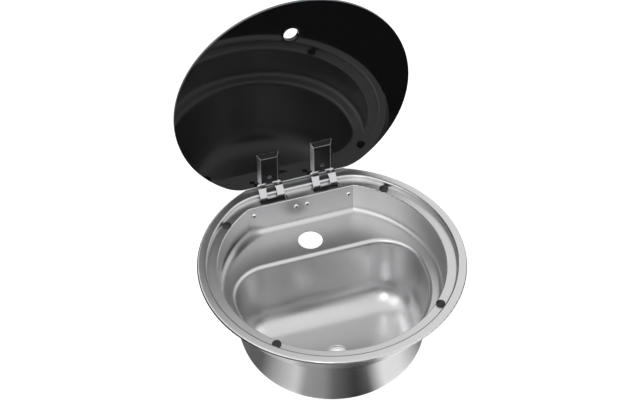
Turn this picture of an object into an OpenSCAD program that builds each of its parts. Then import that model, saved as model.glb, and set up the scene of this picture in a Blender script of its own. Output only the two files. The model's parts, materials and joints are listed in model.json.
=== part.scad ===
// Round built-in sink of stainless sheet with a hinged glass lid, lid open.
// Millimetres: X to the right, Y to the back, Z up. The origin is the centre
// of the rim in the plane of the worktop that the rim lies on.

/* [Sheet] */
// Thickness of the pressed sheet
sheet = 1; // [0.8:0.1:1.3]

/* [Rim] */
// Outer diameter of the rim
rim_d = 420; // [412:1:436]
// Height of the rim's flat top above the worktop
lip_h = 3.5; // [3.2:0.1:4.2]
// Outer radius of the rolled rim edge
roll_r = 3; // [2:0.1:3.1]
// Width of the rim from its edge to the wall of the lid recess
flange_w = 15.5; // [14:0.5:18]

/* [Lid recess] */
// Drop from the rim's flat top to the ledge that carries the lid
recess_depth = 8; // [7.6:0.1:9]
// Radius between the recess wall and the ledge
recess_foot_r = 1.2; // [0.8:0.1:2]
// Radius of the two rear corners of the recess, seen from above
recess_corner_r = 84.6; // [80:0.1:90]
// Width of the ledge round the front and the sides
ledge_w = 16; // [15.6:0.2:18]
// Width of the straight ledge at the back, where the hinges come through
rear_ledge_w = 17; // [16.5:0.1:18]

/* [Upper well] */
// Depth from the ledge to the tap deck
well_depth = 52; // [44:1:64]
// Slope of the upper walls from the vertical, in degrees
well_draft = 3.3; // [0:0.1:5]
// Radius of the ledge's inner edge
ledge_edge_r = 1.5; // [1.4:0.1:2.2]
// Radius between the upper walls and the deck
deck_foot_r = 10; // [6:0.5:14]

/* [Basin] */
// Width of the deck round the basin, at the front and the sides
deck_w = 26.7; // [24:0.1:34]
// Width of the tap deck from the rear panel to the basin's straight wall
tap_deck_w = 80.5; // [74:0.5:90]
// Depth from the deck to the basin's floor
basin_depth = 125.5; // [105:0.5:160]
// Slope of the basin's wall from the vertical, in degrees
basin_draft = 3.5; // [1:0.1:5]
// Radius of the basin's top edge
basin_edge_r = 7; // [4:0.5:9]
// Radius between the basin's wall and its floor
basin_foot_r = 45; // [30:1:48]
// Radius of the basin's two rear corners, seen from above
basin_corner_r = 64; // [56:1:72]

/* [Holes] */
// Diameter of the tap hole
tap_hole_d = 39.5; // [28:0.5:42]
// Distance of the tap hole's centre behind the basin's straight wall
tap_hole_back = 34; // [30:0.5:42]
// Bore of the waste outlet
drain_d = 29; // [20:0.5:40]
// Distance of the outlet behind the middle of the basin
drain_back = 10.4; // [-15:0.1:20]
// Radius of the outlet's rim
drain_edge_r = 3; // [2:0.5:5]
// Length of the outlet's collar below the floor
collar_h = 9; // [6:0.5:20]

/* [Bumpers] */
// Diameter of a rubber bumper
bumper_d = 14.2; // [10:0.1:14.2]
// Height of a bumper's dome above the ledge
bumper_h = 5.5; // [5:0.1:6]
// Angle of the bumpers from the left-to-right line, in degrees
bumper_angle = 45; // [20:1:50]
// Diameter of the stem that holds a bumper in the ledge
bumper_stem_d = 5; // [4:0.1:6]

/* [Glass lid] */
// Thickness of the glass
glass_t = 4; // [3:0.1:5]
// Gap between the glass and the recess wall
glass_gap = 2.8; // [2:0.1:4]
// Gap between the straight edge of the glass and the rear recess wall
glass_rear_gap = 5.3; // [5:0.1:5.6]
// Radius of the two corners at the straight edge
glass_corner_r = 70; // [55:1:85]
// Distance of the finger hole's centre from the front edge of the glass
finger_inset = 59.2; // [45:0.2:80]
// Diameter of the finger hole, clear through its ring
finger_d = 24; // [20:0.5:30]
// Width of the ring's flanges
ring_flange_w = 3.5; // [2.5:0.1:5]
// Thickness of each of the ring's flanges
ring_flange_t = 1.5; // [1:0.1:2]
// Lean of the open lid past the vertical, in degrees
lid_lean = 2; // [0:0.5:3]

/* [Hinges] */
// Distance of the hinge axis behind the rear panel
pivot_back = 24.5; // [24.2:0.1:25]
// Distance of the hinge axis below the ledge
pivot_drop = 2.5; // [2.3:0.1:2.9]
// Overall width of a hinge arm
arm_w = 40.6; // [36:0.2:41]
// Width of each of an arm's two straps
strap_w = 12; // [9:0.1:13]
// Thickness of the arm's sheet
arm_t = 2; // [1.8:0.1:2.1]
// Inside radius of the arm's bends
arm_bend_r = 2.5; // [1.5:0.1:3]
// Clear radius inside the arm's swan neck, from the hinge axis
neck_r = 12; // [11.9:0.1:12.2]
// Height of the arm above the rim where it passes over it
arm_over_rim = 6.5; // [6:0.1:7]
// Outer radius of the arm's knuckles
knuckle_r = 4.5; // [4:0.1:4.6]
// Diameter of the hinge pins
pin_d = 5; // [4:0.1:5.4]
// Gap between the two hinge brackets
bracket_gap = 4.7; // [4:0.1:12]
// Distance of the screws below the ledge
screw_drop = 16.5; // [14:0.1:20]
// Diameter of the screws' shanks
screw_d = 4; // [3:0.1:5]

/* [Glass receivers] */
// Width of a receiver at the glass
receiver_w = 36.5; // [35:0.5:40]
// Length of a receiver
receiver_l = 57.5; // [50:0.5:70]
// Height of a receiver below its bonding pad
receiver_h = 6.3; // [5.6:0.1:6.4]
// Slant of a receiver's sides, from its base to its face
receiver_slant = 4.4; // [3:0.1:4.6]
// Slant of a receiver's far end
receiver_end_slant = 6.5; // [3:0.1:9]
// Thickness of the bonding pad
pad_t = 0.7; // [0.4:0.1:0.8]
// Diameter of a receiver's set screw
set_screw_d = 6; // [5:0.5:7]

/* [Hidden] */
$fn = 96;

steel = [0.74, 0.75, 0.76];
bright_steel = [0.86, 0.87, 0.88];
dark_glass = [0.05, 0.05, 0.06];
black_metal = [0.09, 0.09, 0.10];
rubber = [0.07, 0.07, 0.07];

// How far a cutting shape runs past what it cuts
past = 1;
// Step between faces that would otherwise just touch
hair = 0.02;
// Clearance of a pin that turns in its bore, on the radius
running_fit = 0.05;
// Clearance of a shank that is held in its hole, on the radius
held_fit = 0.02;

// Levels, from the rim down
flange_z = lip_h;
ledge_z = flange_z - recess_depth;
deck_z = ledge_z - well_depth;
floor_z = deck_z - basin_depth;

// Radii, from the rim inwards
rim_r = rim_d / 2;
recess_r = rim_r - flange_w;
well_r = recess_r - ledge_w;
basin_r = well_r - deck_w;

// Direction in which the round wall of the recess runs into its rear corners
recess_tangent = [0.6, 0.8];

// Straight walls, from the back forwards
recess_rear_y = recess_tangent.y * (recess_r - recess_corner_r) + recess_corner_r;
panel_y = recess_rear_y - rear_ledge_w;
panel_w = 2 * sqrt(pow(well_r, 2) - pow(panel_y, 2));
basin_rear_y = panel_y - tap_deck_w;
basin_side_l = basin_rear_y - basin_corner_r;
tap_hole_y = basin_rear_y + tap_hole_back;
drain_y = (basin_rear_y - basin_r) / 2 + drain_back;

// The rim's inner edge is rounded down to the worktop plane, so that the wall
// below it fills the cut-out from there on
flange_edge_r = flange_z;

// Bumpers stand clear of the radius at the foot of the recess wall
bumper_ring_r = recess_r - recess_foot_r - 0.1 - bumper_d / 2;
bumper_hole_d = bumper_stem_d + 0.2;
bumper_foot_d = bumper_stem_d + 2;
bumper_foot_h = 2;
bumper_skirt_h = 2.2;
// Angles of the rear right, rear left, front left and front right bumpers
bumper_angles = [bumper_angle, 180 - bumper_angle, 180 + bumper_angle, -bumper_angle];

// Hinge axis, and the closed lid's underside above it
pivot_y = panel_y + pivot_back;
pivot_z = ledge_z - pivot_drop;
lid_rest_gap = 0.2;
glass_z = ledge_z + bumper_h + lid_rest_gap;
pad_z = glass_z - pad_t;

// Glass outline
glass_r = recess_r - glass_gap;
glass_rear_y = recess_rear_y - glass_rear_gap;
finger_y = finger_inset - glass_r;
ring_wall = 1.4;
ring_play = 0.2;

// Swan neck of an arm, as the line of its inner face from the pin to the
// tongue, in [y, z] from the hinge axis with the lid closed
neck_start = 0.7;
neck_knee = 7.6;
neck_foot_rise = neck_r - 2.2;
neck_crest = flange_z - pivot_z + arm_over_rim;
bend_steps = 8;
tongue_l = 44;
tongue_w = 29;
shoulder_l = 6;
arch_past_neck = 3.5;
arm_line = [
    [neck_start, 0],
    [neck_start, -neck_r],
    [-neck_knee, -neck_r],
    [-neck_crest, neck_foot_rise - neck_r],
    [-neck_crest, pad_z - pivot_z],
    [-neck_crest - arm_t - shoulder_l - tongue_l, pad_z - pivot_z]
];
// Farthest reach of the neck from the axis, where it swings through the slot
neck_reach = norm([neck_crest + arm_t, pad_z - pivot_z - arm_t]);

// A slot lets the neck swing through the ledge
slot_w = arm_w + 6.9;
slot_corner_r = 2;
slot_front_y = pivot_y - neck_reach - 1.3;
slot_rear_y = pivot_y - neck_r + 1;

// Bracket behind the panel
bracket_t = 2.5;
bracket_end_gap = 1.25;
bracket_w = (panel_w - bracket_gap) / 2 - bracket_end_gap;
// Distance of a screw from its bracket's end
screw_margin = 6.85;
screw_span = bracket_w - 2 * screw_margin;
bracket_h = 22;
cheek_t = 1.5;
cheek_gap = 0.5;
cheek_end_r = knuckle_r - 0.3;
stop_gap = 0.3;
stop_t = 1.2;
stop_front = neck_r - 2;
stop_rear = knuckle_r + 1;
stop_land = 0.5;
cheek_rise = pivot_drop - sheet - stop_gap;
pin_head_d = pin_d + 2;
pin_head_t = 1;
hinge_x = (bracket_gap + bracket_w) / 2;

// Screws
screw_hole_d = screw_d + 0.4;
screw_head_d = 8;
screw_head_h = 2.2;
screw_end_past = 1.5;
cross_w = 1;

// Receivers on the glass
receiver_gap = 1;
receiver_y = panel_y - receiver_gap;
groove_play = 0.2;
set_screw_y = receiver_y - 11.3;
set_screw_sink = 0.3;

hinge_sides = [-1, 1];

// Distance of a drafted wall from the middle, at height z
function wall_at(wall, top, draft, z) = wall - tan(draft) * (top - z);

// Half section of a pressed hollow: a drafted wall, rounded into the surface
// above it and into the floor below. grow = 0 gives the hollow itself, and
// grow = sheet gives the outside of the sheet that forms it.
module hollow_section(wall, top, floor, edge_r, foot_r, draft, grow) {
    outward = [cos(draft), -sin(draft)];
    edge_c = [wall_at(wall, top, draft, top - edge_r) + edge_r / cos(draft), top - edge_r];
    foot_c = [wall_at(wall, top, draft, floor + foot_r) - foot_r / cos(draft), floor + foot_r];
    edge_end = edge_c - (edge_r - grow) * outward;
    foot_end = foot_c + (foot_r + grow) * outward;
    polygon([
        [0, floor - grow], [foot_c.x, floor - grow], foot_c, foot_end,
        edge_end, [0, edge_end.y]
    ]);
    translate(foot_c) circle(foot_r + grow);
    difference() {
        polygon([
            [0, edge_end.y], edge_end, edge_c, [edge_c.x, top - grow],
            [0, top - grow]
        ]);
        translate(edge_c) circle(edge_r - grow);
    }
    translate([0, top - grow]) square([edge_c.x, past]);
}

// A section moved inwards by x, from start outwards
module beyond(x, start, bottom, top) {
    intersection() {
        translate([-x, 0]) children();
        translate([start, bottom]) square([rim_r, top - bottom]);
    }
}

// Sweeps a section round a D: round the front up to the direction called
// tangent, straight up the sides as far as side_l, round the corners and
// straight along the back. The pieces meet in planes that hold their axes, so
// that each surface runs smoothly into the next.
module sweep_d(wall, corner_r, tangent, side_l, bottom, top) {
    far = 2 * rim_r;
    reach = wall - corner_r;
    centre = [reach * tangent.x, reach * tangent.y + side_l];
    intersection() {
        rotate_extrude() children();
        translate([0, 0, bottom - past])
            linear_extrude(top - bottom + 2 * past)
                polygon([
                    [0, 0], far * tangent, [far, -far], [-far, -far],
                    far * [-tangent.x, tangent.y]
                ]);
    }
    if (side_l > 0)
        translate([0, side_l, 0])
            rotate([90, 0, 0])
                linear_extrude(side_l) {
                    children();
                    mirror([1, 0]) children();
                }
    for (s = hinge_sides)
        translate([s * centre.x, centre.y, 0])
            intersection() {
                rotate_extrude() beyond(reach, 0, bottom, top) children();
                translate([0, 0, bottom - past])
                    linear_extrude(top - bottom + 2 * past)
                        polygon([
                            [0, 0], far * [s * tangent.x, tangent.y], [s * far, far], [0, far]
                        ]);
            }
    translate([-centre.x, centre.y, 0])
        rotate([90, 0, 90])
            linear_extrude(2 * centre.x)
                beyond(reach, -centre.y, bottom, top) children();
}

// Recess that takes the closed lid
module recess(grow) {
    sweep_d(recess_r, recess_corner_r, recess_tangent, 0, ledge_z - grow, flange_z - grow + past)
        hollow_section(recess_r, flange_z, ledge_z, flange_edge_r, recess_foot_r, 0, grow);
}

// Upper well: a drafted drum cut off by the flat rear panel
module well(grow) {
    intersection() {
        rotate_extrude()
            hollow_section(well_r, ledge_z, deck_z, ledge_edge_r, deck_foot_r, well_draft, grow);
        translate([-rim_r, 0, 0])
            rotate([90, 0, 90])
                linear_extrude(rim_d) {
                    hollow_section(panel_y, ledge_z, deck_z, ledge_edge_r, deck_foot_r, well_draft, grow);
                    translate([-rim_r, deck_z - grow]) square([rim_r, well_depth + past]);
                }
    }
}

// Basin under the deck
module basin(grow) {
    sweep_d(basin_r, basin_corner_r, [1, 0], basin_side_l, floor_z - grow, deck_z - grow + past)
        hollow_section(basin_r, deck_z, floor_z, basin_edge_r, basin_foot_r, basin_draft, grow);
}

// Waste outlet: a collar drawn down from the floor
module outlet(grow) {
    wall = drain_d / 2 + grow;
    bottom = floor_z - collar_h - (grow > 0 ? 0 : past);
    edge_c = [drain_d / 2 + drain_edge_r, floor_z - drain_edge_r];
    translate([0, drain_y, 0])
        rotate_extrude() {
            translate([0, bottom]) square([wall, edge_c.y - bottom]);
            difference() {
                translate([0, edge_c.y]) square([edge_c.x, drain_edge_r - grow]);
                translate(edge_c) circle(drain_edge_r - grow);
            }
            translate([0, floor_z - grow]) square([edge_c.x, past]);
        }
}

// Half section of the rim: a flat flange that rolls over at its edge
module rim_section() {
    intersection() {
        difference() {
            rim_profile(0);
            rim_profile(sheet);
        }
        square([rim_r, flange_z]);
    }
}

module rim_profile(inset) {
    corner = [rim_r - roll_r, flange_z - roll_r];
    square([corner.x, flange_z - inset]);
    square([rim_r - inset, corner.y]);
    translate(corner) circle(roll_r - inset);
}

module rounded_rect(size, r) {
    translate([r, 0]) square([size.x - 2 * r, size.y]);
    translate([0, r]) square([size.x, size.y - 2 * r]);
    for (x = [r, size.x - r], y = [r, size.y - r])
        translate([x, y]) circle(r);
}

// Slot in the ledge for one hinge arm
module arm_slot() {
    translate([-slot_w / 2, slot_front_y, ledge_z - sheet - past])
        linear_extrude(sheet + 2 * past)
            rounded_rect([slot_w, slot_rear_y - slot_front_y], slot_corner_r);
}

// Places children on the inner face of the rear panel, at the screws' height:
// local Y points through the sheet and local Z up along the panel
module on_panel() {
    translate([0, panel_y, ledge_z])
        rotate([-well_draft, 0, 0])
            translate([0, 0, -screw_drop])
                children();
}

module at_screws() {
    for (s = hinge_sides)
        translate([s * screw_span / 2, 0, 0]) rotate([-90, 0, 0]) children();
}

module at_hinge(side) {
    translate([side * hinge_x, 0, 0]) children();
}

module at_bumper(angle) {
    rotate(angle) translate([bumper_ring_r, 0, ledge_z]) children();
}

// Lid pieces are drawn with the lid closed, and this swings them open
module opened() {
    translate([0, pivot_y, pivot_z])
        rotate([-90 - lid_lean, 0, 0])
            translate([0, -pivot_y, -pivot_z])
                children();
}

// The sheet as it is pressed, before its holes are punched
module pressed_sheet() {
    difference() {
        union() {
            rotate_extrude() rim_section();
            recess(sheet);
            well(sheet);
            basin(sheet);
            outlet(sheet);
        }
        recess(0);
        well(0);
        basin(0);
        outlet(0);
    }
}

module bowl_shell() {
    color(steel)
        difference() {
            pressed_sheet();
            translate([0, tap_hole_y, deck_z - sheet - past])
                cylinder(d = tap_hole_d, h = sheet + 2 * past);
            for (side = hinge_sides)
                at_hinge(side) {
                    arm_slot();
                    on_panel()
                        translate([0, -past, 0])
                            at_screws()
                                cylinder(d = screw_hole_d, h = sheet + 2 * past);
                }
            for (angle = bumper_angles)
                at_bumper(angle)
                    translate([0, 0, -sheet - past])
                        cylinder(d = bumper_hole_d, h = sheet + 2 * past);
        }
}

// Rubber bumper: a dome on a short skirt, with a stem and a foot that hold it
// in the ledge
module bumper(angle) {
    dome_h = bumper_h - bumper_skirt_h;
    dome_r = (pow(bumper_d / 2, 2) + pow(dome_h, 2)) / (2 * dome_h);
    color(rubber)
        at_bumper(angle) {
            cylinder(d = bumper_d, h = bumper_skirt_h);
            intersection() {
                translate([0, 0, bumper_h - dome_r]) sphere(dome_r);
                translate([0, 0, bumper_skirt_h]) cylinder(d = bumper_d, h = dome_h);
            }
            translate([0, 0, -sheet - bumper_foot_h])
                cylinder(d = bumper_stem_d, h = sheet + bumper_foot_h + past);
            translate([0, 0, -sheet - bumper_foot_h])
                cylinder(d = bumper_foot_d, h = bumper_foot_h);
        }
}

// Cheek of a bracket, from the plate to the pin, in [y, z]: it rises to the
// stop just under the ledge
module cheek_outline() {
    plate_y = panel_y + sheet / cos(well_draft);
    plate_top = ledge_z - screw_drop + bracket_h / 2;
    plate_foot = ledge_z - screw_drop - bracket_h / 2;
    foot = [wall_at(plate_y, ledge_z, well_draft, plate_foot), plate_foot];
    axis = [pivot_y, pivot_z];
    slope = atan2(axis.y - foot.y, axis.x - foot.x) - asin(cheek_end_r / norm(axis - foot));
    polygon([
        [wall_at(plate_y, ledge_z, well_draft, plate_top), plate_top],
        [pivot_y - stop_front - stop_land, pivot_z + cheek_rise],
        [pivot_y, pivot_z + cheek_rise],
        axis + cheek_end_r * [sin(slope), -cos(slope)],
        foot
    ]);
    translate(axis) circle(cheek_end_r);
}

// Hinge bracket: a plate behind the panel, two cheeks that hold the pin, and a
// cross bar that the open arm rests against
module hinge_bracket(side) {
    cheek_x = arm_w / 2 + cheek_gap;
    color(bright_steel)
        difference() {
            at_hinge(side) {
                on_panel()
                    translate([-bracket_w / 2, sheet, -bracket_h / 2])
                        cube([bracket_w, bracket_t, bracket_h]);
                for (x = [cheek_x, -cheek_x - cheek_t])
                    translate([x, 0, 0])
                        rotate([90, 0, 90])
                            linear_extrude(cheek_t) cheek_outline();
                translate([-cheek_x - past / 2, pivot_y, pivot_z])
                    rotate([-lid_lean, 0, 0])
                        translate([0, -stop_front, stop_gap - neck_start])
                            cube([2 * cheek_x + past, stop_front - stop_rear, stop_t]);
            }
            at_hinge(side) {
                translate([-bracket_w / 2, pivot_y, pivot_z])
                    rotate([0, 90, 0])
                        cylinder(d = pin_d + 2 * held_fit, h = bracket_w);
                on_panel()
                    at_screws()
                        cylinder(d = screw_d + 2 * held_fit, h = sheet + bracket_t + past);
            }
        }
}

// Hinge pin, headed at both ends
module hinge_pin(side) {
    pin_l = arm_w + 2 * (cheek_gap + cheek_t);
    color(bright_steel)
        at_hinge(side)
            translate([-pin_l / 2, pivot_y, pivot_z])
                rotate([0, 90, 0]) {
                    cylinder(d = pin_d, h = pin_l);
                    translate([0, 0, -pin_head_t]) cylinder(d = pin_head_d, h = pin_head_t);
                    translate([0, 0, pin_l]) cylinder(d = pin_head_d, h = pin_head_t);
                }
}

// Cross recess of a screw, cut from its face at z = 0 into the head
module cross_recess(width, depth) {
    for (a = [0, 90])
        rotate(a)
            translate([-width / 2, -cross_w / 2, -past])
                cube([width, cross_w, depth + past]);
}

// The two screws that hold a bracket, driven from inside the well
module panel_screws(side) {
    head_r = (pow(screw_head_d / 2, 2) + pow(screw_head_h, 2)) / (2 * screw_head_h);
    color(bright_steel)
        at_hinge(side)
            on_panel()
                at_screws()
                    difference() {
                        union() {
                            intersection() {
                                translate([0, 0, head_r - screw_head_h]) sphere(head_r);
                                translate([0, 0, -screw_head_h])
                                    cylinder(d = screw_head_d, h = screw_head_h);
                            }
                            cylinder(d = screw_d, h = sheet + bracket_t + screw_end_past);
                        }
                        translate([0, 0, -screw_head_h])
                            cross_recess(screw_head_d * 0.55, screw_head_h * 0.6);
                    }
}

// Heading of a line's stretch i, in degrees
function heading(line, i) = atan2(line[i + 1].y - line[i].y, line[i + 1].x - line[i].x);

// Turn at corner i of a line, left turns positive
function turn_at(line, i) =
    let (turn = heading(line, i) - heading(line, i - 1))
        turn > 180 ? turn - 360 : turn < -180 ? turn + 360 : turn;

// Length that the bend at corner i takes from the stretches beside it
function setback(line, i, thickness, bend_r) =
    i == 0 || i == len(line) - 1
        ? 0
        : (bend_r + (turn_at(line, i) > 0 ? thickness : 0)) * tan(abs(turn_at(line, i)) / 2);

// Points of the bend at corner i, on the face at the given radius
function bend_points(line, i, thickness, bend_r, radius) =
    let (
        turn = turn_at(line, i),
        along = heading(line, i - 1),
        ahead = [cos(along), sin(along)],
        left = [-sin(along), cos(along)],
        centre = line[i] - setback(line, i, thickness, bend_r) * ahead
            + (turn > 0 ? bend_r + thickness : -bend_r) * left,
        start = along + (turn > 0 ? -90 : 90)
    )
        [
            for (k = [0 : bend_steps])
                let (a = start + turn * k / bend_steps)
                    centre + radius * [cos(a), sin(a)]
        ];

// Side view of a folded sheet: it lies to the left of the line, with the same
// inside radius at every bend
module folded_sheet(line, thickness, bend_r) {
    last = len(line) - 1;
    first_left = [-sin(heading(line, 0)), cos(heading(line, 0))];
    last_left = [-sin(heading(line, last - 1)), cos(heading(line, last - 1))];
    corners = [1 : last - 1];
    right_face = [
        line[0],
        for (i = corners)
            each bend_points(line, i, thickness, bend_r, bend_r + (turn_at(line, i) > 0 ? thickness : 0)),
        line[last]
    ];
    left_face = [
        line[0] + thickness * first_left,
        for (i = corners)
            each bend_points(line, i, thickness, bend_r, bend_r + (turn_at(line, i) > 0 ? 0 : thickness)),
        line[last] + thickness * last_left
    ];
    polygon(concat(right_face, [for (i = [len(left_face) - 1 : -1 : 0]) left_face[i]]));
}

// What is cut away from an arm, seen in plan: the window between its straps,
// which ends in a round arch, and the sheet beside its drawn-in tongue
module arm_cuts() {
    arch_r = arm_w / 2 - strap_w;
    shoulder_y = -neck_crest - arm_t;
    arch_y = shoulder_y + arch_r - arch_past_neck;
    end_y = shoulder_y - shoulder_l - tongue_l - past;
    translate([0, arch_y]) circle(arch_r);
    translate([-arch_r, arch_y]) square([2 * arch_r, knuckle_r + past - arch_y]);
    for (s = hinge_sides)
        polygon([
            [s * arm_w / 2, shoulder_y], [s * tongue_w / 2, shoulder_y - shoulder_l],
            [s * tongue_w / 2, end_y], [s * (arm_w / 2 + past), end_y],
            [s * (arm_w / 2 + past), shoulder_y]
        ]);
}

// Hinge arm: two straps on the pin that form a swan neck under the ledge, and
// a tongue that reaches into the receiver
module hinge_arm(side) {
    color(bright_steel)
        opened()
            at_hinge(side)
                translate([0, pivot_y, pivot_z])
                    difference() {
                        translate([-arm_w / 2, 0, 0])
                            rotate([90, 0, 90])
                                linear_extrude(arm_w) {
                                    folded_sheet(arm_line, arm_t, arm_bend_r);
                                    circle(knuckle_r);
                                }
                        translate([0, 0, -arm_w]) linear_extrude(2 * arm_w) arm_cuts();
                        translate([-arm_w, 0, 0])
                            rotate([0, 90, 0])
                                cylinder(d = pin_d + 2 * running_fit, h = 2 * arm_w);
                    }
}

// Receiver under the glass: a block with slanted sides, grooved for the tongue
module glass_receiver(side) {
    face = pad_z - receiver_h;
    groove_w = tongue_w + 2 * groove_play;
    groove_end_y = pivot_y - neck_crest - arm_t - shoulder_l - tongue_l - groove_play;
    color(black_metal)
        opened()
            at_hinge(side)
                difference() {
                    intersection() {
                        translate([0, receiver_y, 0])
                            rotate([90, 0, 0])
                                linear_extrude(receiver_l)
                                    polygon([
                                        [-receiver_w / 2, pad_z], [receiver_w / 2, pad_z],
                                        [receiver_w / 2 - receiver_slant, face],
                                        [receiver_slant - receiver_w / 2, face]
                                    ]);
                        translate([-receiver_w / 2, receiver_y, 0])
                            rotate([90, 0, 90])
                                linear_extrude(receiver_w)
                                    polygon([
                                        [0, pad_z], [-receiver_l, pad_z],
                                        [receiver_end_slant - receiver_l, face], [0, face]
                                    ]);
                    }
                    translate([-groove_w / 2, groove_end_y, pad_z - arm_t - groove_play])
                        cube([groove_w, receiver_y + past - groove_end_y, arm_t + groove_play + past]);
                    translate([0, set_screw_y, face - past])
                        cylinder(d = set_screw_d + 2 * held_fit, h = receiver_h);
                }
}

// Pad that bonds a receiver to the glass
module bonding_pad(side) {
    color(rubber)
        opened()
            at_hinge(side)
                translate([-receiver_w / 2, receiver_y - receiver_l, pad_z])
                    cube([receiver_w, receiver_l, pad_t]);
}

// Set screw that holds the tongue in its receiver
module set_screw(side) {
    color(bright_steel)
        opened()
            at_hinge(side)
                translate([0, set_screw_y, pad_z - receiver_h + set_screw_sink])
                    difference() {
                        cylinder(d = set_screw_d, h = receiver_h - set_screw_sink - arm_t);
                        cross_recess(set_screw_d * 0.7, 1.4);
                    }
}

// Glass: a disc cut off straight at the hinges. Its rounded corners lie a hair
// inside their neighbours, as they do in the recess.
module glass_outline() {
    corner_y = glass_rear_y - glass_corner_r;
    corner_x = sqrt(pow(glass_r - glass_corner_r, 2) - pow(corner_y, 2));
    tangent_y = glass_r * corner_y / (glass_r - glass_corner_r);
    difference() {
        circle(glass_r);
        translate([-glass_r, tangent_y]) square([2 * glass_r, glass_r]);
    }
    for (s = hinge_sides)
        translate([s * corner_x, corner_y]) circle(glass_corner_r - hair);
    translate([-corner_x, corner_y]) square([2 * corner_x, glass_corner_r]);
}

module glass_pane() {
    color(dark_glass)
        opened()
            translate([0, 0, glass_z])
                linear_extrude(glass_t)
                    difference() {
                        glass_outline();
                        translate([0, finger_y]) circle(finger_d / 2 + ring_wall + ring_play);
                    }
}

// Ring of the finger hole, with a flange on each face of the glass
module finger_ring() {
    color(bright_steel)
        opened()
            translate([0, finger_y, glass_z - ring_flange_t])
                difference() {
                    union() {
                        cylinder(d = finger_d + 2 * ring_wall, h = glass_t + 2 * ring_flange_t);
                        for (z = [0, glass_t + ring_flange_t])
                            translate([0, 0, z])
                                cylinder(d = finger_d + 2 * ring_flange_w, h = ring_flange_t);
                    }
                    translate([0, 0, -past])
                        cylinder(d = finger_d, h = glass_t + 2 * ring_flange_t + 2 * past);
                }
}

bowl_shell();
bumper(bumper_angles[0]);  // bumper_rear_right
bumper(bumper_angles[1]);  // bumper_rear_left
bumper(bumper_angles[2]);  // bumper_front_left
bumper(bumper_angles[3]);  // bumper_front_right
hinge_bracket(-1);  // hinge_bracket_left
hinge_bracket(1);  // hinge_bracket_right
hinge_pin(-1);  // hinge_pin_left
hinge_pin(1);  // hinge_pin_right
panel_screws(-1);  // panel_screws_left
panel_screws(1);  // panel_screws_right
hinge_arm(-1);  // hinge_arm_left
hinge_arm(1);  // hinge_arm_right
glass_receiver(-1);  // glass_receiver_left
glass_receiver(1);  // glass_receiver_right
bonding_pad(-1);  // bonding_pad_left
bonding_pad(1);  // bonding_pad_right
set_screw(-1);  // set_screw_left
set_screw(1);  // set_screw_right
glass_pane();
finger_ring();
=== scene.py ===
# %% [markdown]
# # A round sink with a hinged glass lid
#
# The sink is pressed from one sheet of stainless steel: a flat rim with a rolled
# edge, a ledge for the lid, an upper well with a flat panel for the hinges, and
# a D-shaped basin. A disc of black glass stands open behind it on two hinges.
#
# The solids come from the CAD model, in metres and in their final places. This
# lesson keeps the pressed steel as it was packed, rebuilds the small sheet-metal
# and glass pieces with the soft edges that real ones have, and gives each
# surface its own procedural finish.

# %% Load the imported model
import math

import bmesh
import bpy
from mathutils import Matrix, Vector
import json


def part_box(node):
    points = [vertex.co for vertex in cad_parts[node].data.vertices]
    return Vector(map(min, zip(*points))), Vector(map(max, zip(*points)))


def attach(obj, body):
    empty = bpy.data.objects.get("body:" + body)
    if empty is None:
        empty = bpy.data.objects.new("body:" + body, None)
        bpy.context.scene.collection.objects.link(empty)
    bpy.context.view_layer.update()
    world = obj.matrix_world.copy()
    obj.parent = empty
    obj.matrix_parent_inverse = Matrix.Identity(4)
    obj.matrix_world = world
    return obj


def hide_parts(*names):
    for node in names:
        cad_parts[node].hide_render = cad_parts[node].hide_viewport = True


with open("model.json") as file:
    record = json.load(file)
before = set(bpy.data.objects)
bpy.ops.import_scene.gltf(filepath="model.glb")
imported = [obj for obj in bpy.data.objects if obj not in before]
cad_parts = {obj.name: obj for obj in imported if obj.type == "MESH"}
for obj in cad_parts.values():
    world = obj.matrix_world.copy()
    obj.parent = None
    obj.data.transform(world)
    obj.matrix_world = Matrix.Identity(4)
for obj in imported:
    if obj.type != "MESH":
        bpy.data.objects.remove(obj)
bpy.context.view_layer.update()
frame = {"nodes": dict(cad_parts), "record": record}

nodes = frame["nodes"]
sides = ("left", "right")
scene = bpy.context.scene
scene.view_settings.view_transform = "Standard"

# %% [markdown]
# ## The camera
#
# The photograph was taken from well above and a little to the left with a long
# lens, so that circles turn into nearly even ellipses. The position and the
# directions below were worked out from the rim, the tap hole and the glass, whose
# real shapes are known. A matrix of the camera's own axes says where it looks
# without a chain of rotations.

# %% Camera
camera = bpy.data.objects.new("camera", bpy.data.cameras.new("camera"))
scene.collection.objects.link(camera)
scene.camera = camera
camera.data.sensor_width = 36
camera.data.lens = 135
camera.data.clip_end = 20

to_right = Vector((0.95001, -0.31222, -0.00280))
to_top = Vector((0.22262, 0.67101, 0.70723))
to_viewer = Vector((-0.21893, -0.67250, 0.70697))
viewpoint = Vector((-0.8133, -2.4393, 2.7075))
turned = Matrix((to_right, to_top, to_viewer)).transposed().to_4x4()
camera.matrix_world = Matrix.Translation(viewpoint) @ turned
print("camera at", [round(v, 3) for v in viewpoint], "lens", camera.data.lens)

# %% [markdown]
# ## Finishes from one recipe
#
# Every finish starts from a Principled shader: its colour, how metallic it is,
# and its roughness. Values that are the same all over are written on the
# shader's own sockets, and nodes are added only for what varies. Three small
# helpers keep the later cells short: one makes a material, one adds a node and
# sets its values, and one joins two sockets.

# %% Helpers for materials
def new_finish(name, colour, metallic, roughness):
    finish = bpy.data.materials.new(name)
    finish.use_nodes = True
    shader = finish.node_tree.nodes["Principled BSDF"]
    shader.inputs["Base Color"].default_value = (*colour, 1)
    shader.inputs["Metallic"].default_value = metallic
    shader.inputs["Roughness"].default_value = roughness
    return finish, shader


def add_node(finish, kind, **values):
    node = finish.node_tree.nodes.new(kind)
    for name, value in values.items():
        if name in node.inputs:
            node.inputs[name].default_value = value
        else:
            setattr(node, name, value)
    return node


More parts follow.
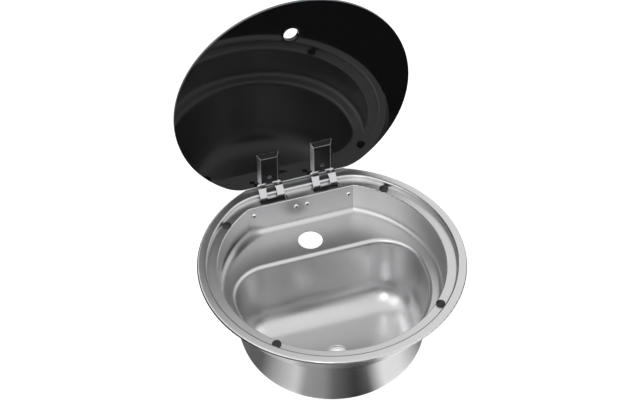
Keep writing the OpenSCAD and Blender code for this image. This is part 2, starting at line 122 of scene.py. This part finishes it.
def join(finish, start, end):
    finish.node_tree.links.new(start, end)


print("helpers for materials are ready")

# %% [markdown]
# ## Patterns that stay on the metal
#
# Noise is read in Object coordinates, so that a pattern stays put when the lid
# swings. It hardly ever leaves the middle of its range, so Map Range spreads
# that middle over the values that a finish needs. A slow noise in the roughness
# looks like the uneven shine of real sheet, and a fine one as bump like grain.

# %% Helpers for patterns
noise_low, noise_high = 0.3, 0.7


def object_noise(finish, scale, stretch=(1, 1, 1), detail=3):
    place = add_node(finish, "ShaderNodeTexCoord")
    mapping = add_node(finish, "ShaderNodeMapping", Scale=stretch)
    noise = add_node(finish, "ShaderNodeTexNoise", Scale=scale, Detail=detail)
    join(finish, place.outputs["Object"], mapping.inputs["Vector"])
    join(finish, mapping.outputs["Vector"], noise.inputs["Vector"])
    return noise.outputs["Fac"]


def spread(finish, value, low, high):
    between = add_node(finish, "ShaderNodeMapRange")
    between.inputs["From Min"].default_value = noise_low
    between.inputs["From Max"].default_value = noise_high
    between.inputs["To Min"].default_value = low
    between.inputs["To Max"].default_value = high
    join(finish, value, between.inputs["Value"])
    return between.outputs["Result"]


def vary_roughness(finish, shader, scale, low, high, detail=3):
    cloudy = object_noise(finish, scale, detail=detail)
    join(finish, spread(finish, cloudy, low, high), shader.inputs["Roughness"])


def bump(finish, shader, height, strength, distance):
    node = add_node(finish, "ShaderNodeBump", Strength=strength, Distance=distance)
    join(finish, height, node.inputs["Height"])
    join(finish, node.outputs["Normal"], shader.inputs["Normal"])


print("noise from", noise_low, "to", noise_high, "is spread over each finish's values")

# %% [markdown]
# ## Dressing a piece
#
# A CAD node that keeps its shape only gets a new material in its slot. A piece
# that is modelled here starts as a bmesh and becomes an object at the origin,
# with its place in its mesh, as the CAD nodes have.

# %% Helpers for pieces
def dress(name, finish):
    mesh = nodes[name].data
    mesh.materials.clear()
    mesh.materials.append(finish)
    for face in mesh.polygons:
        face.material_index = 0


def as_object(shape, name):
    piece = bpy.data.objects.new(name, bpy.data.meshes.new(name))
    shape.to_mesh(piece.data)
    shape.free()
    scene.collection.objects.link(piece)
    return piece


def faces_by_finish(mesh):
    used = [face.material_index for face in mesh.polygons]
    return {finish.name: used.count(index) for index, finish in enumerate(mesh.materials)}


print("helpers for pieces are ready")

# %% [markdown]
# ## Softened edges
#
# Cut sheet, castings and ground glass have no razor edges: a small round on each
# one catches the light. The helper below copies a CAD piece, merges its loose
# triangles, melts the flat ones together and bevels every sharp edge with the
# bevel operator. A Bevel modifier would do the same, but the operator leaves a
# plain mesh whose edge faces can be given a finish of their own. Weighted normals
# then keep the large faces flat and let the narrow ones do all the turning.

# %% A helper for softened edges
same_place = 1e-6
nearly_flat = math.radians(0.5)
sharp = math.radians(30)


def softened(name, body, finish, width, edge_finish=None):
    soft = bmesh.new()
    soft.from_mesh(nodes[name].data)
    bmesh.ops.remove_doubles(soft, verts=soft.verts, dist=same_place)
    bmesh.ops.dissolve_limit(
        soft, angle_limit=nearly_flat, verts=soft.verts, edges=soft.edges,
    )
    edges = [
        edge for edge in soft.edges
        if len(edge.link_faces) == 2 and edge.calc_face_angle() > sharp
    ]
    rounded = bmesh.ops.bevel(
        soft, geom=edges, offset=width, offset_type="OFFSET", segments=2,
        profile=0.5, affect="EDGES", material=-1, clamp_overlap=True,
    )
    if edge_finish:
        for face in rounded["faces"]:
            face.material_index = 1
    piece = as_object(soft, f"{name}_soft")
    piece.data.materials.append(finish)
    if edge_finish:
        piece.data.materials.append(edge_finish)
    piece.data.shade_smooth()
    weighted = piece.modifiers.new("weighted", "WEIGHTED_NORMAL")
    weighted.weight = 100
    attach(piece, body)
    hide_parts(name)
    return piece


print("edges sharper than", round(math.degrees(sharp)), "degrees are rounded")

# %% [markdown]
# ## Pressed and brushed stainless steel
#
# The sheet of the sink has a fine satin grain. A mirror would show every line of
# the room, and plain grey paint would show none, so the metal keeps a middle
# roughness that drifts a little, as real rolled sheet does. Very small bumps
# break up the highlights. The grain could be a picture, but noise in the shader
# has no seams and needs no unwrapping.

# %% Satin steel of the outside
grain_scale = 1600
grain_strength = 0.03
grain_depth = 0.0001
satin, shader = new_finish("satin_steel", (0.62, 0.62, 0.625), 1.0, 0.27)
vary_roughness(satin, shader, scale=60, low=0.235, high=0.265, detail=5)
grain = object_noise(satin, grain_scale, stretch=(1, 1, 0.3), detail=2)
bump(satin, shader, grain, grain_strength, grain_depth)
dress("bowl_shell", satin)
print(satin.name, "on bowl_shell")

# %% [markdown]
# ## Steel of the inside
#
# The inside of the bowl is scrubbed and shines less than the outside, and the
# ledge and the deck, where things are put down, shine least. So its roughness
# follows the height: Map Range turns a height into a place on a colour ramp,
# whose stops hold the roughness. The change between the rim and the ledge lies
# in the recess's upper bend, where it doesn't show as a line.

# %% Steel of the inside
# A height in metres and the roughness there
wear_stops = [
    (-0.13, 0.3), (-0.08, 0.31), (-0.06, 0.37), (0.0005, 0.36), (0.002, 0.31), (0.0035, 0.31),
]
lowest, highest = wear_stops[0][0], wear_stops[-1][0]
basin_steel, shader = new_finish("basin_steel", (0.65, 0.65, 0.655), 1.0, 0.3)
place = add_node(basin_steel, "ShaderNodeTexCoord")
split = add_node(basin_steel, "ShaderNodeSeparateXYZ")
height = add_node(basin_steel, "ShaderNodeMapRange")
height.inputs["From Min"].default_value = lowest
height.inputs["From Max"].default_value = highest
wear = add_node(basin_steel, "ShaderNodeValToRGB")
stops = wear.color_ramp.elements
for level, rough in wear_stops[1:-1]:
    stops.new((level - lowest) / (highest - lowest))
for stop, (level, rough) in zip(stops, wear_stops):
    stop.color = (rough, rough, rough, 1)
join(basin_steel, place.outputs["Object"], split.inputs["Vector"])
join(basin_steel, split.outputs["Z"], height.inputs["Value"])
join(basin_steel, height.outputs["Result"], wear.inputs["Fac"])
print("roughness by height:", [(round(s.position, 3), round(s.color[0], 2)) for s in stops])

# %% [markdown]
# A little noise is added to the height's roughness, and the grain is the same
# size as outside but runs no way in particular, as scouring leaves it.

# %% Drift and grain of the inside
drift = 0.015
cloudy = object_noise(basin_steel, scale=40, detail=5)
added = add_node(basin_steel, "ShaderNodeMath", operation="ADD")
join(basin_steel, wear.outputs["Color"], added.inputs[0])
join(basin_steel, spread(basin_steel, cloudy, -drift, drift), added.inputs[1])
join(basin_steel, added.outputs[0], shader.inputs["Roughness"])
grain = object_noise(basin_steel, grain_scale, detail=2)
bump(basin_steel, shader, grain, grain_strength, grain_depth)
print(basin_steel.name, "drifts by", drift)

# %% [markdown]
# ## Which face gets which steel
#
# A CAD mesh keeps its shape, but each of its faces may use any of its material
# slots. A face belongs to the inside where its normal looks up or towards the
# middle of the basin. The value called lean says how much looking up counts.

# %% Finishes of the bowl by face
basin_y = -0.03
lean = 0.3
bowl = nodes["bowl_shell"].data
bowl.materials.append(basin_steel)
for face in bowl.polygons:
    x, y, z = face.center
    outwards = face.normal.x * x + face.normal.y * (y - basin_y)
    if outwards < lean * face.center.length * face.normal.z:
        face.material_index = 1
print("bowl_shell:", faces_by_finish(bowl))

# %% [markdown]
# The cut edge of the tap hole is painted nearly black, as painted shade on the sheet's
# thickness inside the hole. Its faces stand upright at the hole's radius, which the imported
# record gives.

# %% Cut edge of the tap hole
# Painted shade: the hole's cut edge is nearly black.
tap_hole_edge_shade, shader = new_finish("tap_hole_edge_shade", (0.05, 0.05, 0.053), 1.0, 0.4)
vary_roughness(tap_hole_edge_shade, shader, scale=900, low=0.34, high=0.48)

tap_hole = next(mount for mount in frame["record"]["mounts"] if mount["name"] == "tap_hole")
tap_x, tap_y = tap_hole["pos_m"][:2]
spare = 0.0001
tap_reach = tap_hole["dims"]["r_mm"] / 1000 + spare
upright = 0.1
bowl.materials.append(tap_hole_edge_shade)
for face in bowl.polygons:
    x, y, z = face.center
    if abs(face.normal.z) < upright and math.hypot(x - tap_x, y - tap_y) < tap_reach:
        face.material_index = 2
print("bowl_shell:", faces_by_finish(bowl))

# %% [markdown]
# ## Bright steel of the hinges
#
# The arms and the pins are polished harder than the sheet, so they reflect more
# sharply. Stamped strip and drawn wire still have a little grain along their
# length.

# %% Bright steel
bright, shader = new_finish("bright_steel", (0.62, 0.62, 0.63), 1.0, 0.2)
vary_roughness(bright, shader, scale=140, low=0.15, high=0.26)
drawn = object_noise(bright, scale=700, stretch=(0.12, 1, 1), detail=2)
bump(bright, shader, drawn, grain_strength, grain_depth)
for side in sides:
    dress(f"hinge_pin_{side}", bright)
    arm = softened(f"hinge_arm_{side}", "lid", bright, width=0.0004)
    print(arm.name, len(arm.data.polygons), "faces")

# %% [markdown]
# The brackets behind the panel are steel painted dark grey, as painted shade: they sit in the
# shade of the ledge, and only a little of them shows through the slots.

# %% Steel of the brackets, with painted shade
# Painted shade: the bracket steel is darker than the sheet.
bracket_shade, shader = new_finish("bracket_painted_shade", (0.30, 0.30, 0.31), 1.0, 0.4)
vary_roughness(bracket_shade, shader, scale=160, low=0.34, high=0.5)
for side in sides:
    dress(f"hinge_bracket_{side}", bracket_shade)
print(bracket_shade.name, "on the brackets")

# %% [markdown]
# ## Black glass
#
# The lid is tempered glass with a black enamel under it, so it is a near-black
# body with a very smooth, clear surface. It needs no light passing through it.
# Faint smears in the roughness keep it from looking like a hole in the picture.

# %% Black glass
glass, shader = new_finish("black_glass", (0.006, 0.006, 0.007), 0.0, 0.03)
shader.inputs["IOR"].default_value = 1.45
vary_roughness(glass, shader, scale=9, low=0.02, high=0.04, detail=2)
pane = softened("glass_pane", "lid", glass, width=0.0006)
print(pane.name, len(pane.data.polygons), "faces")

# %% [markdown]
# The edge all round is ground and shows as a grey frosted line. Along the straight side a
# narrow hem at the bottom of the pane is painted nearly white, a painted highlight on that
# edge. Bisecting the pane with a level plane gives the hem faces of its own.

# %% Edges of the glass
ground, shader = new_finish("ground_edge", (0.2, 0.21, 0.21), 0.0, 0.35)
vary_roughness(ground, shader, scale=700, low=0.28, high=0.45)
# Painted highlight: the hem's front is painted nearly white.
edge_highlight, shader = new_finish("painted_edge_highlight", (0.8, 0.81, 0.81), 0.0, 0.2)
vary_roughness(edge_highlight, shader, scale=500, low=0.15, high=0.28)
pane.data.materials.append(ground)
pane.data.materials.append(edge_highlight)
print(pane.name, "may use", [finish.name for finish in pane.data.materials])

# %% The hem
hem_height = 0.0022
hem_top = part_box("glass_pane")[0].z + hem_height
cut = bmesh.new()
cut.from_mesh(pane.data)
bmesh.ops.bisect_plane(
    cut, geom=[*cut.verts, *cut.edges, *cut.faces],
    plane_co=(0, 0, hem_top), plane_no=(0, 0, 1),
)
cut.to_mesh(pane.data)
cut.free()
print("the pane is cut at", round(hem_top, 5), "into", len(pane.data.polygons), "faces")

# %% [markdown]
# The two big faces are shaded flat, because smooth normals would bend what they
# reflect. They are the faces that look the same way as the largest one. All the
# others are ground edge, apart from the hem's front.

# %% Finishes of the glass by face
across = max(pane.data.polygons, key=lambda face: face.area).normal.copy()
same_way = 0.9
to_front = -0.3
for face in pane.data.polygons:
    face.use_smooth = abs(face.normal.dot(across)) < same_way
    face.material_index = int(face.use_smooth)
    # The hem's front gets the painted highlight.
    if face.center.z < hem_top and face.normal.y < to_front:
        face.material_index = 2
print(pane.name, faces_by_finish(pane.data))

# %% [markdown]
# ## Black paint, worn edges with painted highlights, and rubber
#
# The receivers on the glass are die-cast and painted black, with a soft gloss. Bare metal
# shows along their edges as wear, and these light edges also stand for the glints that run
# along them: painted highlight. The pads under them and the bumpers are rubber: darker than
# the eye expects, and much rougher. The screws in the receivers and the ring in the glass are
# blackened steel.

# %% Black finishes
paint, shader = new_finish("black_paint", (0.010, 0.010, 0.011), 0.0, 0.14)
shader.inputs["Specular IOR Level"].default_value = 0.2
peel = object_noise(paint, scale=300, detail=2)
join(paint, spread(paint, peel, low=0.11, high=0.17), shader.inputs["Roughness"])
bump(paint, shader, peel, strength=0.02, distance=grain_depth)

# Painted highlight: this light bare-metal finish on edges is wear and also stands for their
# glints.
wear_and_highlight, shader = new_finish("edge_wear_and_highlight", (0.55, 0.55, 0.56), 1.0, 0.3)
vary_roughness(wear_and_highlight, shader, scale=300, low=0.24, high=0.4)

blackened, shader = new_finish("blackened_steel", (0.06, 0.06, 0.063), 1.0, 0.3)
vary_roughness(blackened, shader, scale=400, low=0.25, high=0.38)

ring_steel, shader = new_finish("ring_steel", (0.05, 0.05, 0.053), 1.0, 0.3)
vary_roughness(ring_steel, shader, scale=200, low=0.24, high=0.36)

rubber, shader = new_finish("black_rubber", (0.018, 0.018, 0.018), 0.0, 0.5)
dusty = object_noise(rubber, scale=220, detail=4)
join(rubber, spread(rubber, dusty, low=0.42, high=0.62), shader.inputs["Roughness"])
bump(rubber, shader, dusty, strength=0.15, distance=0.0003)
print("black finishes:", [f.name for f in (paint, wear_and_highlight, blackened, ring_steel, rubber)])

# %% [markdown]
# The chamfers on the receivers' left get the same light finish as the worn edges, as a painted
# reflection of the bright ledge beside them. Their normals tell which faces they are: these
# look to the left and to the front at once.

# %% Receivers, pads, ring and bumpers
slant = -0.3
for side in sides:
    receiver = softened(
        f"glass_receiver_{side}", "lid", paint, width=0.0005, edge_finish=wear_and_highlight,
    )
    for face in receiver.data.polygons:
        # Painted reflection: the left chamfers get the same light finish.
        if face.normal.x < slant and face.normal.y < slant:
            face.material_index = 1
    # Painted highlight: the set screw's bevels get the light edge finish too.
    softened(
        f"set_screw_{side}", "lid", blackened,
        width=0.0003, edge_finish=wear_and_highlight,
    )
    dress(f"bonding_pad_{side}", rubber)
    print(receiver.name, faces_by_finish(receiver.data))
dress("finger_ring", ring_steel)
for corner in ("rear_right", "rear_left", "front_left", "front_right"):
    dress(f"bumper_{corner}", rubber)
print("rubber on the pads and bumpers")

# %% [markdown]
# ## Panel screws
#
# A domed screw head catches the light as a ring round its cross recess. The CAD model has the
# recess already, so only the finish of the faces near the screw's axis changes: they get
# blackened steel, painted shade in the recess. Their distance from the axis is enough to find
# them.

# %% Panel screws
screw_steel, shader = new_finish("screw_steel", (0.85, 0.85, 0.86), 1.0, 0.35)
vary_roughness(screw_steel, shader, scale=500, low=0.3, high=0.42, detail=2)
head_r = 0.004
head_h = 0.0022
socket_r = 0.0019
for side in sides:
    name = f"panel_screws_{side}"
    dress(name, screw_steel)
    screws = nodes[name].data
    screws.materials.append(blackened)
    low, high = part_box(name)
    for face in screws.polygons:
        x, y, z = face.center
        off_axis = math.hypot(min(x - low.x, high.x - x) - head_r, z - low.z - head_r)
        # Painted shade: faces in the recess get blackened steel.
        if y < low.y + head_h and off_axis < socket_r:
            face.material_index = 1
    print(name, faces_by_finish(screws))

# %% [markdown]
# ## Painted shade under the slots
#
# Each hinge swings through a slot in the ledge, and under it there is dark shade. What that is
# can't be seen. A thin black trough stands for that shade, as painted shade: an arc round the
# hinge pin, wide enough for the arm to turn in.
# Spinning one edge about the pin gives the arc, and solidify gives it a wall. It
# is in five strips. The two narrow ones are in line with the bracket's cheeks
# and start further round, where the cheeks have ended.
#
# Solidify adds its side faces in an order that changes from run to run. Sorting
# all the faces by their points makes the mesh the same each time.

# %% A helper for the order of faces
def sort_faces(shape):
    shape.verts.index_update()
    points = len(shape.verts)

    def by_points(face):
        first, second, third = sorted(vert.index for vert in face.verts)[:3]
        return (first * points + second) * points + third

    shape.faces.sort(key=by_points)


print("helper for the order of faces is ready")

# %% Painted shade troughs under the slots
trough_r = 0.0206
trough_wall = 0.0008
last_angle = 127
# Where a strip starts and ends along the pin, and the angle at which it starts
strips = [
    (-0.0304, -0.0226, 12), (-0.0207, 0.0207, 12), (0.0226, 0.0304, 12),
    (-0.0225, -0.0208, 64), (0.0208, 0.0225, 64),
]


def slot_shade_trough(side):
    low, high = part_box(f"hinge_pin_{side}")
    pin = (low + high) / 2
    trough = bmesh.new()
    for start, end, first_angle in strips:
        ends = [trough.verts.new(pin + Vector((x, -trough_r, 0))) for x in (start, end)]
        line = trough.edges.new(ends)
        turn = Matrix.Rotation(math.radians(first_angle), 3, "X")
        bmesh.ops.rotate(trough, verts=ends, cent=pin, matrix=turn)
        bmesh.ops.spin(
            trough, geom=[*ends, line], cent=pin, axis=(1, 0, 0), dvec=(0, 0, 0),
            angle=math.radians(last_angle - first_angle), steps=18,
            use_merge=False, use_normal_flip=False, use_duplicate=False,
        )
    bmesh.ops.recalc_face_normals(trough, faces=trough.faces)
    bmesh.ops.solidify(trough, geom=trough.faces, thickness=trough_wall)
    sort_faces(trough)
    piece = as_object(trough, f"slot_shade_trough_{side}")
    # Painted shade: the trough is black rubber put where there is only shade.
    piece.data.materials.append(rubber)
    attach(piece, "sink")
    return piece


for side in sides:
    trough = slot_shade_trough(side)
    print(trough.name, len(trough.data.polygons), "faces")

# %% [markdown]
# ## Floor and background
#
# A sink is photographed on a white sweep. The floor here is a wide white plane
# that keeps the shadow. It lies a hair below the sink's lowest point.

# %% Floor
floor_gap = 0.0005
floor_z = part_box("bowl_shell")[0].z - floor_gap
floor_reach = 6
plane = bmesh.new()
bmesh.ops.create_grid(plane, x_segments=1, y_segments=1, size=floor_reach)
bmesh.ops.translate(plane, verts=plane.verts, vec=(0, 0, floor_z))
floor = as_object(plane, "floor")
print("floor at", round(floor_z, 4))

# %% [markdown]
# To the camera, and in the metal and the glass, the floor's own glow makes it
# white, so no extra light is thrown on the object. Light Path tells these rays
# from the ones that carry light.

# %% The floor's own white
def seen_directly(finish):
    rays = add_node(finish, "ShaderNodeLightPath")
    first = add_node(finish, "ShaderNodeMath", operation="MAXIMUM")
    both = add_node(finish, "ShaderNodeMath", operation="MAXIMUM")
    join(finish, rays.outputs["Is Camera Ray"], first.inputs[0])
    join(finish, rays.outputs["Is Glossy Ray"], first.inputs[1])
    join(finish, first.outputs[0], both.inputs[0])
    join(finish, rays.outputs["Is Transmission Ray"], both.inputs[1])
    return both.outputs[0]


floor_glow = 0.8
white_floor, shader = new_finish("white_floor", (0.8, 0.8, 0.8), 0.0, 1.0)
shader.inputs["Emission Color"].default_value = (1, 1, 1, 1)
strength = add_node(white_floor, "ShaderNodeMath", operation="MULTIPLY")
join(white_floor, seen_directly(white_floor), strength.inputs[0])
strength.inputs[1].default_value = floor_glow
join(white_floor, strength.outputs[0], shader.inputs["Emission Strength"])
floor.data.materials.append(white_floor)
print("the floor glows at", floor_glow, "where it is seen")

# %% [markdown]
# ## Black cards
#
# Bright metal looks flat in an all-white room. Photographers put black cards
# round it, out of the picture, so that it mirrors them as dark bands. Only
# reflections see the cards here. Each is a ring whose darkness changes with the
# angle: a mix with a Transparent shader, driven by an attribute on its points,
# fades it in and out without a hard edge.

# %% Card finish
card_black, shader = new_finish("card_black", (0.01, 0.01, 0.01), 0.0, 0.9)
dark = add_node(card_black, "ShaderNodeAttribute", attribute_name="dark")
clear = add_node(card_black, "ShaderNodeBsdfTransparent")
blended = add_node(card_black, "ShaderNodeMixShader")
surface = card_black.node_tree.nodes["Material Output"].inputs["Surface"]
join(card_black, dark.outputs["Fac"], blended.inputs["Fac"])
join(card_black, clear.outputs["BSDF"], blended.inputs[1])
join(card_black, shader.outputs["BSDF"], blended.inputs[2])
join(card_black, blended.outputs["Shader"], surface)
print(card_black.name, "fades with the attribute", dark.attribute_name)

# %% [markdown]
# A list of stops, each an angle and how dark the card is there, describes a
# card. Between two stops the darkness changes evenly. Angles are counted to the
# right from the line that faces the camera.

# %% How dark a card is at an angle
facing = 252


def at_angle(stops, angle):
    for (a, low), (b, high) in zip(stops, stops[1:]):
        if a <= angle <= b:
            return low + (high - low) * (angle - a) / (b - a)
    return stops[-1][1]


print("cards count their angles from", facing, "degrees")

# %% [markdown]
# A two-point edge that is spun once round makes a flat ring, or a wall where its
# outer point is raised. Each point then stores how dark the card is there.

# %% A helper for round cards
def round_card(name, centre, inner, outer, darkness, rise=0):
    card = bmesh.new()
    edge = [
        card.verts.new((centre[0] + inner, centre[1], centre[2])),
        card.verts.new((centre[0] + outer, centre[1], centre[2] + rise)),
    ]
    line = card.edges.new(edge)
    bmesh.ops.spin(
        card, geom=[*edge, line], cent=centre, axis=(0, 0, 1), dvec=(0, 0, 0),
        angle=math.tau, steps=180, use_merge=True, use_normal_flip=False,
        use_duplicate=False,
    )
    shape = as_object(card, name)
    shade = shape.data.attributes.new("dark", "FLOAT", "POINT")
    for vertex, value in zip(shape.data.vertices, shade.data):
        along = math.degrees(math.atan2(vertex.co.y - centre[1], vertex.co.x - centre[0]))
        value.value = at_angle(darkness, (along - facing) % 360)
    shape.data.materials.append(card_black)
    shape.visible_camera = False
    shape.visible_diffuse = False
    shape.visible_shadow = False
    shape.visible_transmission = False
    return shape


print("helper for round cards is ready")

# %% [markdown]
# One card lies on the floor and gives the outside of the basin its bands. One
# stands at the left, as a curved wall, for the dark line on the rolled edge. The
# widest hangs just under the rim's level for the open glass.

# %% Cards round the sink
card_gap = 0.0003
drum_stops = [
    (0, 0.85), (17, 0.97), (28, 0.9), (34, 0.5), (41, 0), (58, 0.05), (85, 0.75),
    (180, 0.8), (298, 0.88), (311, 0.58), (331, 0.2), (338, 0.62), (354, 0.7), (360, 0.85),
]
side_stops = [(0, 0), (205, 0), (215, 1), (300, 1), (312, 0), (360, 0)]
lid_stops = [(0, 1), (125, 1), (150, 0), (210, 0), (235, 1), (360, 1)]
cards = [
    round_card(
        "drum_card", (0, 0, floor_z + card_gap), inner=0.12, outer=0.34, darkness=drum_stops,
    ),
    round_card(
        "side_card", (0, 0, floor_z), inner=1.0, outer=1.0, darkness=side_stops, rise=0.6,
    ),
    round_card("lid_card", (0.016, -0.048, -0.05), inner=0.214, outer=1.5, darkness=lid_stops),
]
print("cards:", [card.name for card in cards])

# %% [markdown]
# ## The room
#
# The room is white for the camera and in reflections. As a light it is weaker,
# so that the colours come out as they were written.

# %% The room
room_light = 0.45
room_white = 1.0
world = bpy.data.worlds.new("studio")
scene.world = world
world.use_nodes = True
sky = world.node_tree.nodes["Background"]
level = add_node(world, "ShaderNodeMapRange")
level.inputs["To Min"].default_value = room_light
level.inputs["To Max"].default_value = room_white
join(world, seen_directly(world), level.inputs["Value"])
join(world, level.outputs["Result"], sky.inputs["Strength"])
sky.inputs["Color"].default_value = (1, 1, 1, 1)
print("room lights at", room_light, "and looks", room_white)

# %% [markdown]
# Four soft lamps stand round the sink and aim at its middle. The key lamp is
# high in front on the left, with a wide one beside it. A weak one fills from the
# right, and the weakest, behind, draws the bright lines along the bends. Area
# lamps are used because polished metal shows their shape.

# %% Lamps
def soft_lamp(name, place, size, power):
    lamp = bpy.data.objects.new(name, bpy.data.lights.new(name, "AREA"))
    lamp.data.shape = "RECTANGLE"
    lamp.data.size, lamp.data.size_y = size
    lamp.data.energy = power
    scene.collection.objects.link(lamp)
    lamp.location = place
    lamp.rotation_mode = "QUATERNION"
    lamp.rotation_quaternion = (-Vector(place)).to_track_quat("-Z", "Y")
    return lamp


lamps = [
    soft_lamp("key_lamp", (-0.8, -1.6, 1.5), size=(0.4, 1.0), power=6),
    soft_lamp("side_lamp", (-1.6, -0.4, 1.5), size=(1.0, 1.4), power=3.5),
    soft_lamp("fill_lamp", (1.5, -0.9, 1.4), size=(0.7, 1.2), power=1.2),
    soft_lamp("back_lamp", (-0.9, 1.7, 1.5), size=(1.2, 0.5), power=1),
]
print("lamps:", {lamp.name: round(lamp.data.energy, 2) for lamp in lamps})
